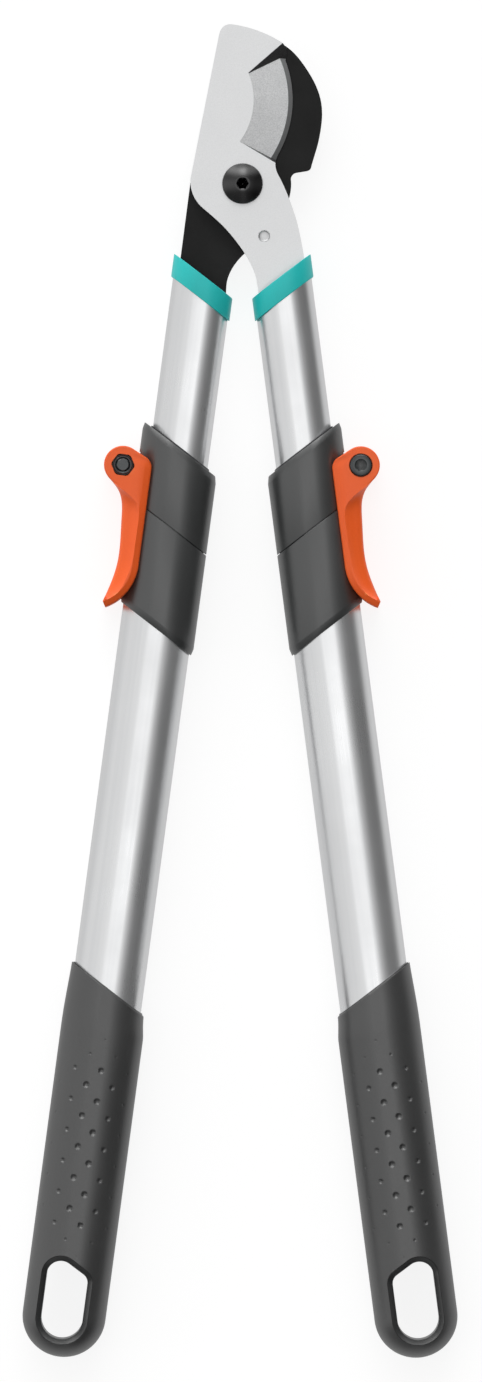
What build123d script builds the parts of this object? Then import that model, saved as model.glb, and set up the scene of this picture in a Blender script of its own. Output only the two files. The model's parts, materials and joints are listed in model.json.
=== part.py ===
from build123d import *
from math import cos, radians, sin, tan
import os

# Telescopic bypass loppers, jaws closed and handles pushed in, lying on their back. Millimetres.
#
# Tool frame, used while modelling: the pivot is at X = Y = 0, X points right, Y points to the blade's tip,
# and the two blades slide on each other at Z = 0. finish() then lays the tool down on Z = 0 with the middle
# of its outline over the origin.
# Handle frame: X points outward from the handle's axis and Y runs down the axis to the grip. Lengths down a
# handle are called depths. The left handle is the pattern, and the right one is the same parts turned over.

# Whole tool
TIP_Y = 62.2                 # top of the cutting blade above the pivot
HANDLE_TILT = 7.5            # each handle leans outward, degrees
HANDLE_OFFSET = 10.5         # handle axis to pivot, at the pivot's level
SLANT = 30.0                 # collars, clamps and grips end on this slant, degrees
TRAVEL = 150.0               # each handle draws out this far
REACH = 400.0                # larger than any piece

# Flat-oval sections: two half rounds with a flat between them
FLAT = 3.6
INNER_R = 9.85
OUTER_R = 12.25
HOUSING_R = 13.8
GRIP_R = 14.45
COLLAR_R = INNER_R + 0.8
TUBE_WALL = 1.5
SLIDE_GAP = 0.3              # between pieces that slide or swing past each other
FACE_GAP = 0.05              # between flat faces that rub

# Blades
PLATE = 4.5
PIVOT_R = 4.0
PIVOT_PLAY = 0.06
ARM_HALF = 9.75              # half width of each blade's arm
TANG_HALF = 7.8
TANG_END = 80.0
BEVEL_CENTRE = (-23.2, 32.8)  # the ground bevel is a cone about this point
BEVEL_IN_R = 27.5
BEVEL_OUT_R = 41.0
EDGE_R = 42.7
STOP_R = 2.35
STOP_AT = (8.47, -20.4)
STOP_EDGE_R = 19.0           # the counter blade is cleared to this radius for the stop pin's swing
STOP_SHOULDER = -74.3        # where the stop pin meets the counter blade, degrees

# Pivot hardware
HEAD_R = 7.9
HEAD_RIM = 1.0
HEAD_DOME = 3.2
HEAD_SOCKET_AF = 4.4
HEAD_SOCKET_DEEP = 2.8
WASHER_R = 8.4
WASHER_THICK = 1.4
PIVOT_NUT_AF = 13.0
PIVOT_NUT_HIGH = 6.5
THREAD_END = 1.0             # thread that stands out of the pivot nut

# Head end of each handle, as depths on the axis
COLLAR_TOP = 36.3
COLLAR_BOTTOM = 45.3
COLLAR_LIP = 2.0
INSERT_END = 84.0
RIVET_R = 1.75
RIVET_DEPTH = 42.0

# Tubes and bushes, as depths
INNER_TUBE_END = 345.0
OUTER_TUBE_TOP = 125.0
OUTER_TUBE_END = 415.0
GUIDE_END = 185.0
GLIDE_TOP = GUIDE_END + TRAVEL + SLIDE_GAP
GLIDE_CAP = 3.0

# Clamp housing, as depths
CLAMP_TOP = 104.5
CLAMP_SPLIT = 135.0
CLAMP_SPLIT_GAP = 0.3
CLAMP_BOTTOM = 175.2

# Clamp lever, about its bolt
BOLT_AT = (21.2, 113.6)
BOLT_R = 2.5
BOLT_PLAY = 0.06
EYE_R = 7.4
EYE_BOSS_R = 6.6
CHEEK_IN = 11.5
CHEEK_OUT = 13.6
CAM_HALF = 3.0
CAM_R = 6.0
CAM_THROW = 0.4
LUG_IN = CAM_HALF + SLIDE_GAP
LUG_OUT = 6.6
LUG_R = 6.0
BOSS_IN = LUG_OUT + SLIDE_GAP
SEAT = 9.2                   # bolt head and nut seat this far from the middle
FASTENER_OUT = 14.2
BOLT_HEAD_R = 4.25
BOLT_SOCKET_AF = 4.0
BOLT_SOCKET_DEEP = 2.6
NUT_AF = 8.0
POCKET_GAP = 0.3
WEB_X = 16.2                 # the lever's web stands outside the housing from here
WEB_TOP = 124.0
WINDOW_TOP = 107.5
WINDOW_BOTTOM = 119.7
SHOE_OUT = 14.6
SHOE_GAP = 0.25

# Grip, as depths
GRIP_TOP = 317.0
GRIP_CENTRE = 445.6          # centre of the round end
PLUG_TOP = 395.0
NECK_HALF = 9.0
NECK_THICK = 17.0
NECK_END = 426.0
HOLE_R = 8.1
HOLE_X = 0.7
HOLE_CENTRE = 446.5
HOLE_TOP = 420.2
HOLE_OUTER_CORNER = 5.5
HOLE_INNER_CORNER = 4.0
RING = 2.2
RING_HALF = 10.8

TILT_COS = cos(radians(HANDLE_TILT))
TILT_SIN = sin(radians(HANDLE_TILT))
SLANT_COS = cos(radians(SLANT))
SLANT_TAN = tan(radians(SLANT))
GRIP_HALF = GRIP_R + FLAT / 2
PIVOT_Y = (GRIP_CENTRE * TILT_COS + GRIP_HALF - TIP_Y) / 2
PIVOT_Z = GRIP_R
UPRIGHT = (Align.CENTER, Align.CENTER, Align.MIN)


# ---------------------------------------------------------------- helpers

def bar(radius, top, bottom):
    """Solid flat-oval bar along the handle's axis."""
    start = Plane(origin=(0, top, 0), x_dir=(1, 0, 0), z_dir=(0, 1, 0))
    return extrude(start * SlotOverall(FLAT + 2 * radius, 2 * radius), amount=bottom - top)


def pipe(outer, inner, top, bottom):
    """Flat-oval tube along the handle's axis."""
    return bar(outer, top, bottom) - bar(inner, top, bottom)


def slab(top, bottom):
    """Everything between two slanted cuts, given where they cross the handle's axis."""
    depth = (bottom - top) * SLANT_COS
    between = Box(REACH, depth, REACH, align=(Align.CENTER, Align.MIN, Align.CENTER))
    return Pos(0, top, 0) * Rot(0, 0, -SLANT) * between


def block(x_low, x_high, y_low, y_high, z_low, z_high):
    """Box given by its limits."""
    size = (x_high - x_low, y_high - y_low, z_high - z_low)
    middle = ((x_low + x_high) / 2, (y_low + y_high) / 2, (z_low + z_high) / 2)
    return Pos(*middle) * Box(*size)


def rod(at, radius, z_low, z_high):
    """Round bar along Z."""
    return Pos(at[0], at[1], z_low) * Cylinder(radius, z_high - z_low, align=UPRIGHT)


def hex_bar(at, across_flats, z_low, z_high):
    """Hexagonal bar along Z."""
    outline = RegularPolygon(across_flats / 2, 6, major_radius=False)
    return Pos(at[0], at[1], z_low) * extrude(outline, amount=z_high - z_low)


def layer(face, z_low, z_high):
    """Plate from a flat outline."""
    return Pos(0, 0, z_low) * extrude(face, amount=z_high - z_low)


def both_sides(face, near, far):
    """Two plates from one outline, one on each side of the middle."""
    return layer(face, near, far) + layer(face, -far, -near)


def handle_point(side, x, depth):
    """Point of a handle's frame in the tool frame. side is -1 for left and 1 for right."""
    across = HANDLE_OFFSET + depth * TILT_SIN + x * TILT_COS
    return (side * across, x * TILT_SIN - depth * TILT_COS)


def around(centre, radius, angle):
    """Point on a circle, angle in degrees."""
    return (centre[0] + radius * cos(radians(angle)), centre[1] + radius * sin(radians(angle)))


# ---------------------------------------------------------------- blades

def tang_outline(side):
    """Sunk end of an arm, from its inner edge to its outer edge."""
    shoulder = COLLAR_TOP + COLLAR_LIP
    corners = [
        (-ARM_HALF, shoulder + ARM_HALF * SLANT_TAN),
        (-TANG_HALF, shoulder + TANG_HALF * SLANT_TAN),
        (-TANG_HALF, TANG_END),
        (TANG_HALF, TANG_END),
        (TANG_HALF, shoulder - TANG_HALF * SLANT_TAN),
        (ARM_HALF, shoulder - ARM_HALF * SLANT_TAN),
    ]
    return [handle_point(side, x, depth) for x, depth in corners]


def cutting_blade_face():
    """Outline of the cutting blade and its arm."""
    tang = tang_outline(1)
    down_the_axis = (TILT_SIN, -TILT_COS)
    outline = Line((-20.3, 2.0), (-9.4, 57.6))
    outline += Spline((-9.4, 57.6), (-8.1, 60.8), (-4.4, TIP_Y), tangents=[(0.192, 0.981), (0.99, -0.1)])
    outline += ThreePointArc((-4.4, TIP_Y), (6.2, 59.6), (15.6, 54.9))
    outline += ThreePointArc((15.6, 54.9), (16.6, 53.4), (16.6, 48.3))
    outline += ThreePointArc((16.6, 48.3), (19.45, 31.2), (14.5, 12.7))
    outline += ThreePointArc((14.5, 12.7), (13.3, 10.2), (12.8, 7.6))
    outline += Spline((12.8, 7.6), (14.6, 2.2), (18.1, -5.6), (21.2, -14.6), (23.0, -22.5), tang[-1],
                      tangents=[(0, -1), down_the_axis])
    outline += Polyline(*reversed(tang))
    outline += Spline(tang[0], (5.3, -36.4), (0.7, -26.8), (-7.0, -17.1), (-15.0, -9.9),
                      tangents=[(-TILT_SIN, TILT_COS), (-0.77, 0.64)])
    outline += ThreePointArc((-15.0, -9.9), (-19.2, -4.5), (-20.3, 2.0))
    return make_face(outline)


def bevel_cut():
    """Stock that is ground away in front of the cutting edge."""
    surface = PLATE + FACE_GAP
    profile = Polyline((BEVEL_IN_R, surface + 1.0), (BEVEL_IN_R, surface - 0.25), (BEVEL_OUT_R, 1.55),
                       (EDGE_R, 0.5), (EDGE_R + 6, -3.2), (EDGE_R + 6, surface + 1.0), close=True)
    ring = revolve(Plane.XZ * make_face(profile), axis=Axis.Z, revolution_arc=360)
    cone = Pos(*BEVEL_CENTRE, 0) * ring
    ground = Polyline((2.1, 43.3), (-8.0, 34.0), (-8.0, 20.55), (12.8, 8.15), (26.0, 0.4), (26.0, 64.0), close=True)
    runout_line = (13.1, 11.4)
    runout = Plane(origin=(2.5, 43.6, surface), x_dir=(*runout_line, 0), z_dir=(0.41, -0.47, 0.78))
    above_runout = runout * Box(REACH, REACH, REACH, align=UPRIGHT)
    wall = Plane(origin=(-8.0, 20.55, surface), x_dir=(20.8, -12.4, 0), z_dir=(0.49, 0.82, 0.29))
    above_wall = wall * Box(REACH, REACH, REACH, align=UPRIGHT)
    return cone & layer(make_face(ground), -1.0, surface + 2.0) & above_runout & above_wall


def make_cutting_blade():
    """Front blade, with its pivot bore, the seat of the stop pin and the ground bevel."""
    plate = layer(cutting_blade_face(), FACE_GAP, PLATE + FACE_GAP)
    plate -= rod((0, 0), PIVOT_R + PIVOT_PLAY, -REACH, REACH)
    plate -= rod(STOP_AT, STOP_R, -REACH, REACH)
    plate -= rod(handle_point(1, 0, RIVET_DEPTH), RIVET_R, -REACH, REACH)
    return plate - bevel_cut()


def make_counter_blade():
    """Hooked blade behind, cleared for the stop pin's swing."""
    tang = tang_outline(-1)
    outline = Line(handle_point(-1, ARM_HALF, 31.0), (-20.4, 0.4))
    outline += Line((-20.4, 0.4), around((0, 0), 15.6, 141))
    outline += ThreePointArc(around((0, 0), 15.6, 141), around((0, 0), 15.6, 100), around((0, 0), 15.6, 55))
    outline += Spline(around((0, 0), 15.6, 55), (13.2, 18.6), (15.9, 27.0), (16.5, 35.5), (14.8, 46.0), (13.0, 53.6),
                      tangents=[(0.82, 0.57), (-0.25, 0.97)])
    outline += ThreePointArc((13.0, 53.6), (13.0, 54.9), (14.2, 55.3))
    outline += Spline((14.2, 55.3), (17.0, 53.7), (24.2, 46.0), (29.4, 36.5), (31.0, 26.1), (29.4, 15.7), (26.9, 7.2),
                      tangents=[(0.9, -0.44), (-0.28, -0.96)])
    outline += ThreePointArc((26.9, 7.2), (26.4, 5.9), (25.2, 5.2))
    outline += Line((25.2, 5.2), (21.0, 4.5))
    outline += ThreePointArc((21.0, 4.5), (19.55, 3.7), around((0, 0), STOP_EDGE_R, 4.0))
    outline += ThreePointArc(around((0, 0), STOP_EDGE_R, 4.0), around((0, 0), STOP_EDGE_R, -35.0),
                             around((0, 0), STOP_EDGE_R, STOP_SHOULDER))
    shoulder_end = around((0, 0), 23.6, STOP_SHOULDER)
    outline += Line(around((0, 0), STOP_EDGE_R, STOP_SHOULDER), shoulder_end)
    outline += Spline(shoulder_end, (0.7, -27.2), (-3.6, -32.3), (-5.9, -37.6), tang[0],
                      tangents=[(-0.8, -0.6), (-TILT_SIN, -TILT_COS)])
    outline += Polyline(*tang)
    outline += Line(tang[-1], handle_point(-1, ARM_HALF, 31.0))
    plate = layer(make_face(outline), -PLATE - FACE_GAP, -FACE_GAP)
    plate -= rod((0, 0), PIVOT_R, -REACH, REACH)
    return plate - rod(handle_point(-1, 0, RIVET_DEPTH), RIVET_R, -REACH, REACH)


# ---------------------------------------------------------------- pivot

def make_pivot_bolt():
    """Domed socket bolt that holds the two blades together."""
    seat = PLATE + 2 * FACE_GAP
    crown = seat + HEAD_RIM + HEAD_DOME
    sphere_r = (HEAD_R ** 2 + HEAD_DOME ** 2) / (2 * HEAD_DOME)
    dome = Pos(0, 0, crown - sphere_r) * Sphere(sphere_r)
    bolt = rod((0, 0), HEAD_R, seat, crown) & dome
    bolt -= hex_bar((0, 0), HEAD_SOCKET_AF, crown - HEAD_SOCKET_DEEP, crown + 1)
    nut_face = PLATE + FACE_GAP + WASHER_THICK + PIVOT_NUT_HIGH
    return bolt + rod((0, 0), PIVOT_R, -nut_face - THREAD_END, seat)


def make_pivot_washer():
    """Flat washer under the pivot nut."""
    face = -PLATE - FACE_GAP
    washer = rod((0, 0), WASHER_R, face - WASHER_THICK, face)
    return washer - rod((0, 0), PIVOT_R, -REACH, REACH)


def make_pivot_nut():
    """Hexagon nut on the back of the pivot bolt."""
    face = -PLATE - FACE_GAP - WASHER_THICK
    nut = hex_bar((0, 0), PIVOT_NUT_AF, face - PIVOT_NUT_HIGH, face)
    return nut - rod((0, 0), PIVOT_R, -REACH, REACH)


def make_stop_pin():
    """Pin in the cutting blade's arm, which stops the jaws both ways."""
    return rod(STOP_AT, STOP_R, -PLATE, PLATE + 2 * FACE_GAP)


# ---------------------------------------------------------------- handle: head end and tubes

def make_head_collar():
    """Coloured collar that closes the tube's end around the arm."""
    collar = bar(COLLAR_R, 0, 2 * COLLAR_BOTTOM) & slab(COLLAR_TOP, COLLAR_BOTTOM)
    collar -= bar(INNER_R, 0, 2 * COLLAR_BOTTOM) & slab(COLLAR_TOP + COLLAR_LIP, 2 * COLLAR_BOTTOM)
    return collar - block(-ARM_HALF, ARM_HALF, 0, 2 * COLLAR_BOTTOM, -PLATE - FACE_GAP, -FACE_GAP)


def make_tang_insert():
    """Block that fills the tube around the tang."""
    insert = bar(INNER_R - TUBE_WALL, 0, INSERT_END) & slab(COLLAR_TOP + COLLAR_LIP, 2 * INSERT_END)
    insert -= block(-TANG_HALF, TANG_HALF, 0, TANG_END, -PLATE - FACE_GAP, -FACE_GAP)
    return insert - rod((0, RIVET_DEPTH), RIVET_R, -REACH, REACH)


def make_tang_rivet():
    """Rivet through tube, insert and tang, under the collar."""
    return rod((0, RIVET_DEPTH), RIVET_R, -INNER_R, INNER_R)


def make_inner_tube():
    """Upper tube, which slides inside the lower one."""
    tube = pipe(INNER_R, INNER_R - TUBE_WALL, 0, INNER_TUBE_END)
    tube &= slab(COLLAR_TOP + COLLAR_LIP, 3 * INNER_TUBE_END)
    return tube - rod((0, RIVET_DEPTH), RIVET_R, -REACH, REACH)


def make_glide_plug():
    """Plug on the upper tube's lower end, which runs in the lower tube and stops the draw."""
    plug = bar(OUTER_R - TUBE_WALL - SLIDE_GAP, GLIDE_TOP, INNER_TUBE_END + GLIDE_CAP)
    return plug - pipe(INNER_R, INNER_R - TUBE_WALL, GLIDE_TOP, INNER_TUBE_END)


def make_outer_tube():
    """Lower tube."""
    return pipe(OUTER_R, OUTER_R - TUBE_WALL, OUTER_TUBE_TOP, OUTER_TUBE_END)


def make_guide_bush():
    """Liner in the lower tube's mouth, on which the upper tube slides."""
    return pipe(OUTER_R - TUBE_WALL, INNER_R + SLIDE_GAP, OUTER_TUBE_TOP, GUIDE_END)


# ---------------------------------------------------------------- handle: clamp

def make_clamp_collar():
    """Upper half of the clamp housing, with the shoe's window and the lever's two lugs."""
    ring = pipe(HOUSING_R, INNER_R + SLIDE_GAP, 0, 2 * CLAMP_SPLIT) & slab(CLAMP_TOP, CLAMP_SPLIT)
    ring -= bar(OUTER_R, OUTER_TUBE_TOP, 2 * CLAMP_SPLIT)
    ring -= block(0, REACH, WINDOW_TOP, WINDOW_BOTTOM, -LUG_IN, LUG_IN)
    root_x = 14.0
    lug = Pos(*BOLT_AT) * Circle(LUG_R)
    lug += make_face(Polyline((root_x, 106.0), (20.0, 107.7), (20.0, 119.5), (root_x, 121.2), close=True))
    clamp = ring + both_sides(lug, LUG_IN, LUG_OUT)
    return clamp - rod(BOLT_AT, BOLT_R + BOLT_PLAY, -REACH, REACH)


def make_clamp_sleeve():
    """Lower half of the clamp housing, fixed on the lower tube."""
    top = CLAMP_SPLIT + CLAMP_SPLIT_GAP
    return pipe(HOUSING_R, OUTER_R, 0, 2 * CLAMP_BOTTOM) & slab(top, CLAMP_BOTTOM)


def make_brake_shoe():
    """Shoe in the window, which the lever's cam presses on the upper tube."""
    reach = LUG_IN - SLIDE_GAP
    shoe = block(0, SHOE_OUT, WINDOW_TOP + SLIDE_GAP, WINDOW_BOTTOM - SLIDE_GAP, -reach, reach)
    return shoe - bar(INNER_R + SHOE_GAP, 0, 2 * WINDOW_BOTTOM)


def lever_outline():
    """Side view of the clamp lever."""
    leave = around(BOLT_AT, EYE_R, 55)
    meet = around(BOLT_AT, EYE_R, -115)
    outline = ThreePointArc(leave, around(BOLT_AT, EYE_R, -30), meet)
    outline += Line(meet, (13.4, 109.2))
    outline += ThreePointArc((13.4, 109.2), (10.8, 111.1), (9.95, 114.2))
    outline += Line((9.95, 114.2), (9.95, 152.0))
    outline += ThreePointArc((9.95, 152.0), (12.9, 162.3), (20.7, 169.5))
    outline += Line((20.7, 169.5), (22.0, 167.3))
    outline += Spline((22.0, 167.3), (18.4, 152.0), (19.0, 135.0), (21.3, 124.2), leave)
    return make_face(outline)


def make_clamp_lever():
    """Over-centre lever: two cheeks astride the housing, a web behind them and a cam on the bolt."""
    side = lever_outline()
    web = side & make_face(Polyline((WEB_X, WEB_TOP), (30, WEB_TOP), (30, 180), (WEB_X, 180), close=True))
    arm = make_face(Polyline((17.0, 115.0), (25.0, 115.0), (22.5, 128.0), (17.4, 128.0), close=True))
    cam = Pos(BOLT_AT[0] - CAM_THROW, BOLT_AT[1]) * Circle(CAM_R)
    lever = both_sides(side, CHEEK_IN, CHEEK_OUT)
    lever += both_sides(Pos(*BOLT_AT) * Circle(EYE_BOSS_R), BOSS_IN, CHEEK_IN)
    lever += layer(web, -CHEEK_IN, CHEEK_IN)
    lever += layer(cam + (arm & side), -CAM_HALF, CAM_HALF)
    lever -= rod(BOLT_AT, BOLT_R, -REACH, REACH)
    lever -= rod(BOLT_AT, BOLT_HEAD_R + POCKET_GAP, -REACH, -SEAT)
    return lever - hex_bar(BOLT_AT, NUT_AF + 2 * POCKET_GAP, SEAT, REACH)


def make_lever_bolt():
    """Socket-head bolt that the lever turns on."""
    head = rod(BOLT_AT, BOLT_HEAD_R, -FASTENER_OUT, -SEAT)
    head -= hex_bar(BOLT_AT, BOLT_SOCKET_AF, -FASTENER_OUT - 1, BOLT_SOCKET_DEEP - FASTENER_OUT)
    return head + rod(BOLT_AT, BOLT_R, -SEAT, FASTENER_OUT)


def make_lever_nut():
    """Lock nut in the lever's hexagon pocket."""
    return hex_bar(BOLT_AT, NUT_AF, SEAT, FASTENER_OUT - 0.4) - rod(BOLT_AT, BOLT_R, -REACH, REACH)


# ---------------------------------------------------------------- handle: grip

def hanging_hole():
    """Outline of the hanging hole: round below, slanted above."""
    inner_x = HOLE_X - HOLE_R
    outer_x = HOLE_X + HOLE_R
    inner_top = HOLE_TOP + 2 * HOLE_R * SLANT_TAN
    outline = Polyline((outer_x, HOLE_CENTRE), (outer_x, HOLE_TOP), (inner_x, inner_top), (inner_x, HOLE_CENTRE))
    outline += ThreePointArc((inner_x, HOLE_CENTRE), (HOLE_X, HOLE_CENTRE + HOLE_R), (outer_x, HOLE_CENTRE))
    hole = make_face(outline)
    for corner, radius in (((outer_x, HOLE_TOP, 0), HOLE_OUTER_CORNER), ((inner_x, inner_top, 0), HOLE_INNER_CORNER)):
        hole = fillet(hole.vertices().sort_by_distance(corner)[0], radius)
    return hole


def make_grip_core():
    """Hard core: a plug in the tube's end and the ring that lines the hanging hole."""
    hole = hanging_hole()
    core = bar(OUTER_R - TUBE_WALL, PLUG_TOP, OUTER_TUBE_END)
    core += block(-NECK_HALF, NECK_HALF, OUTER_TUBE_END, NECK_END, -NECK_THICK / 2, NECK_THICK / 2)
    core += layer(offset(hole, RING), -RING_HALF, RING_HALF)
    return core - layer(hole, -REACH, REACH)


def make_grip_cover():
    """Soft cover over the tube's end and the core, with a round end."""
    cover = bar(GRIP_R, 0, GRIP_CENTRE) & slab(GRIP_TOP, 2 * GRIP_CENTRE)
    end_plane = Plane(origin=(0, GRIP_CENTRE, 0), x_dir=(1, 0, 0), z_dir=(0, -1, 0))
    half = SlotOverall(2 * GRIP_HALF, 2 * GRIP_R) & Rectangle(REACH, REACH, align=(Align.MIN, Align.CENTER))
    round_end = revolve(end_plane * half, axis=Axis((0, GRIP_CENTRE, 0), (0, 0, 1)), revolution_arc=180)
    cover += round_end
    cover -= bar(OUTER_R, 0, OUTER_TUBE_END)
    cover -= layer(offset(hanging_hole(), RING), -REACH, REACH)
    return cover - make_grip_core()


# ---------------------------------------------------------------- assembly

HEAD = {
    "cutting_blade": make_cutting_blade,
    "counter_blade": make_counter_blade,
    "pivot_bolt": make_pivot_bolt,
    "pivot_washer": make_pivot_washer,
    "pivot_nut": make_pivot_nut,
    "stop_pin": make_stop_pin,
}

HANDLE = {
    "head_collar": make_head_collar,
    "tang_insert": make_tang_insert,
    "tang_rivet": make_tang_rivet,
    "inner_tube": make_inner_tube,
    "glide_plug": make_glide_plug,
    "outer_tube": make_outer_tube,
    "guide_bush": make_guide_bush,
    "clamp_collar": make_clamp_collar,
    "clamp_sleeve": make_clamp_sleeve,
    "brake_shoe": make_brake_shoe,
    "clamp_lever": make_clamp_lever,
    "lever_bolt": make_lever_bolt,
    "lever_nut": make_lever_nut,
    "grip_core": make_grip_core,
    "grip_cover": make_grip_cover,
}


def finish(name, shape):
    """Lay the piece down in the row's frame and write it."""
    export_step(Pos(0, PIVOT_Y, PIVOT_Z) * shape, f"parts/{name}.step")


def main():
    """Build every piece: the head once, and each handle piece twice."""
    os.makedirs("parts", exist_ok=True)
    for name, make in HEAD.items():
        finish(name, make())
    to_left = Pos(-HANDLE_OFFSET, 0, 0) * Rot(0, 0, 180 - HANDLE_TILT)
    for name, make in HANDLE.items():
        left = to_left * make()
        finish(f"left_{name}", left)
        finish(f"right_{name}", Rot(0, 180, 0) * left)


main()
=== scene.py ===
import json
import math

import bmesh
import bpy
import numpy as np
from mathutils import Matrix, Vector


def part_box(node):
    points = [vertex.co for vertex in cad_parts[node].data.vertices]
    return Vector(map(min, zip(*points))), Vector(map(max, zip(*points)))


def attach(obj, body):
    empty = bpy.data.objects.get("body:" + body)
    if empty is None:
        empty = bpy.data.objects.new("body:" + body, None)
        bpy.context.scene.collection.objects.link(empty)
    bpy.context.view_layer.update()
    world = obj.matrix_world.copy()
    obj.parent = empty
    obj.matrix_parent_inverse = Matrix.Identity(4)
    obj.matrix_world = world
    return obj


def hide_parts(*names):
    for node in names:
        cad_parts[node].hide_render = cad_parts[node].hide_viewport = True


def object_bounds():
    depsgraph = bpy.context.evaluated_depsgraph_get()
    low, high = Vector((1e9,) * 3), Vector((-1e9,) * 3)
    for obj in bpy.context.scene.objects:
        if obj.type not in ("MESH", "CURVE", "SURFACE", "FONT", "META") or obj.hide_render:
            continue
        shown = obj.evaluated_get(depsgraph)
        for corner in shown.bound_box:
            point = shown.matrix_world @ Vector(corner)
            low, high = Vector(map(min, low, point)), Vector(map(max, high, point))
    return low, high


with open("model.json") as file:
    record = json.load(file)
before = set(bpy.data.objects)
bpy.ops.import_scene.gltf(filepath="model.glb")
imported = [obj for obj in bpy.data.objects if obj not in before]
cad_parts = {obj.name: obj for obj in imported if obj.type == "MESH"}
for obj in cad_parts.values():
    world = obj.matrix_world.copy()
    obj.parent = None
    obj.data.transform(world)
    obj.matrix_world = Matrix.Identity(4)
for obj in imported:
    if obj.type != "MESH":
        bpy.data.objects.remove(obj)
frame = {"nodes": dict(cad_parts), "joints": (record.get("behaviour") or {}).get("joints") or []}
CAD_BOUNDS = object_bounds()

# Looks of the telescopic bypass loppers.
#
# Row frame: metres, X right, Y up the tool, Z out of its front face. Pieces of a handle are built in that
# handle's own frame, in millimetres: x outward from the handle's axis, t down the axis to the grip, z out of
# the face that is the front one on the left handle. The right handle is the same parts turned over.

MM = 0.001
SHARP_ANGLE = math.radians(35)
SIDES = ("left", "right")
JOINTS = {joint["name"]: joint for joint in frame["joints"]}
PIVOT = Vector(JOINTS["jaw_hinge"]["pos_m"])
UPPER_BODY = {"left": "counter_half", "right": "cutting_half"}

# Sections, as in the CAD frame
FLAT = 3.6
INNER_R = 9.85
OUTER_R = 12.25
HOUSING_R = 13.8
HOUSING_FILLET = 0.25
GRIP_R = 14.45
COLLAR_R = 10.65
TUBE_WALL = 1.5
SLANT = math.tan(math.radians(30))
OVAL_ANGLES = [2 * math.pi * (i + 0.5) / 72 for i in range(72)]
END = 0.0001                 # a depth of minus this much is the bottom end itself

# Depths down a handle
COLLAR = (36.3, 45.3)
CLAMP = (104.5, 135.0)
SLEEVE = (135.3, 175.2)
INNER_TUBE = (38.3, 345.0)
OUTER_TUBE = (125.0, 415.0)
GRIP_TOP = 317.0
GRIP_SQUARE = 336.0          # the slanted top has died out here
GRIP_CENTRE = 445.6
BOLT = (21.2, 113.6)         # cross bolt of the lever, in x and t

# Hanging hole: centre, radius, first and last degree of each corner, and how much wider its lining is
HOLE_CORNERS = (
    ((0.7, 446.5), 8.1, 0, 180),         # round bottom
    ((-3.4, 431.86), 4.0, 180, 240),     # inner top corner
    ((3.3, 429.73), 5.5, 240, 360),      # outer top corner
)
RING_WIDE = 2.2

# Dimples of the grip
DIMPLE_COLUMN = 5.12                     # from one column to the next
DIMPLE_PITCH = 12.16                     # from one dimple to the next in a column
DIMPLE_CENTRE = (0.8, 379.4)             # middle of the dimpled patch, in x and t
DIMPLE_FIRST = 379.12                    # depth of a dimple of the even columns
DIMPLE_FADE = (28.0, 40.0)               # they shrink between these distances along the grip
DIMPLE_END = 44.0
DIMPLE_REACH = 16.8                      # and across it they vanish this far from the middle
DIMPLE_R = 1.3

# Lever
CHEEK = 13.6                 # outer face of its cheeks over the middle
CHEEK_IN = 11.5
WEB_X = 16.2                 # inner face of its web
SCOOP = 3.1                  # depth of its finger scoop
STRIPE = 1.3                 # fall of the sloping stripe along its inner edge
EDGE_R = 0.5
SEAT = 9.2                   # the bolt's head and nut sit this far from the middle
EYE_R = 7.4                  # round of its top, about the bolt

# Camera: long lens, nudged and turned by the little that the photograph is off centre and askew
CAMERA_DISTANCE = 6.0
FRAME_HEIGHT = 0.5395
CAMERA_SHIFT_X = -0.00016
CAMERA_ROLL = 0.0022

# Studio dome: light level by direction across the tool, and a second one along it. Each is weighted by a
# share that depends on the other direction.
ACROSS = ((-1.0, 0.84), (-0.5, 0.86), (-0.14, 0.88), (-0.01, 1.5), (0.07, 1.5), (0.24, 0.74), (0.5, 0.36),
          (0.72, 0.19), (1.0, 0.17))
ACROSS_SHARE = ((-1.0, 0.2), (-0.5, 0.25), (-0.14, 1.0), (0.14, 1.0), (0.34, 0.6), (1.0, 0.6))
ALONG = ((-1.0, 0.0), (0.5, 0.0), (0.76, 3.8), (0.86, 3.8), (0.96, 0.5), (1.0, 0.5))
ALONG_SHARE = ((-1.0, 0.5), (-0.3, 0.6), (-0.08, 1.0), (0.14, 1.0), (0.3, 0.35), (1.0, 0.25))
BELOW = ((-1.0, 1.0), (-0.4, 1.0), (0.0, 0.0), (1.0, 0.0))     # share of the level below, by height
BELOW_LEVEL = 0.68


# ---------------------------------------------------------------- mesh helpers

def handle_matrix(side):
    """Row frame of one handle's own frame."""
    down = Vector(JOINTS[side + "_telescope"]["axis"])
    out = Vector(JOINTS[side + "_shoe_slide"]["axis"])
    front = out.cross(down)
    origin = Vector(JOINTS[side + "_lever_hinge"]["pos_m"]) - (out * BOLT[0] + down * BOLT[1]) * MM
    matrix = Matrix((out, down, front)).transposed().to_4x4()
    matrix.translation = origin
    return matrix


def new_mesh(name, points, faces):
    """Mesh from points in millimetres, shaded smooth with sharp edges kept."""
    mesh = bpy.data.meshes.new(name)
    mesh.from_pydata([tuple(c * MM for c in p) for p in points], [], faces)
    tidy_mesh(mesh)
    return mesh


def tidy_mesh(mesh):
    """Merge doubles, point the faces outward and set smooth shading."""
    work = bmesh.new()
    work.from_mesh(mesh)
    bmesh.ops.remove_doubles(work, verts=work.verts, dist=1e-6)
    bmesh.ops.dissolve_degenerate(work, dist=1e-7, edges=work.edges)
    bmesh.ops.recalc_face_normals(work, faces=work.faces)
    work.to_mesh(mesh)
    work.free()
    mesh.polygons.foreach_set("use_smooth", [True] * len(mesh.polygons))
    mesh.set_sharp_from_angle(angle=SHARP_ANGLE)
    mesh.update()


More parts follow.
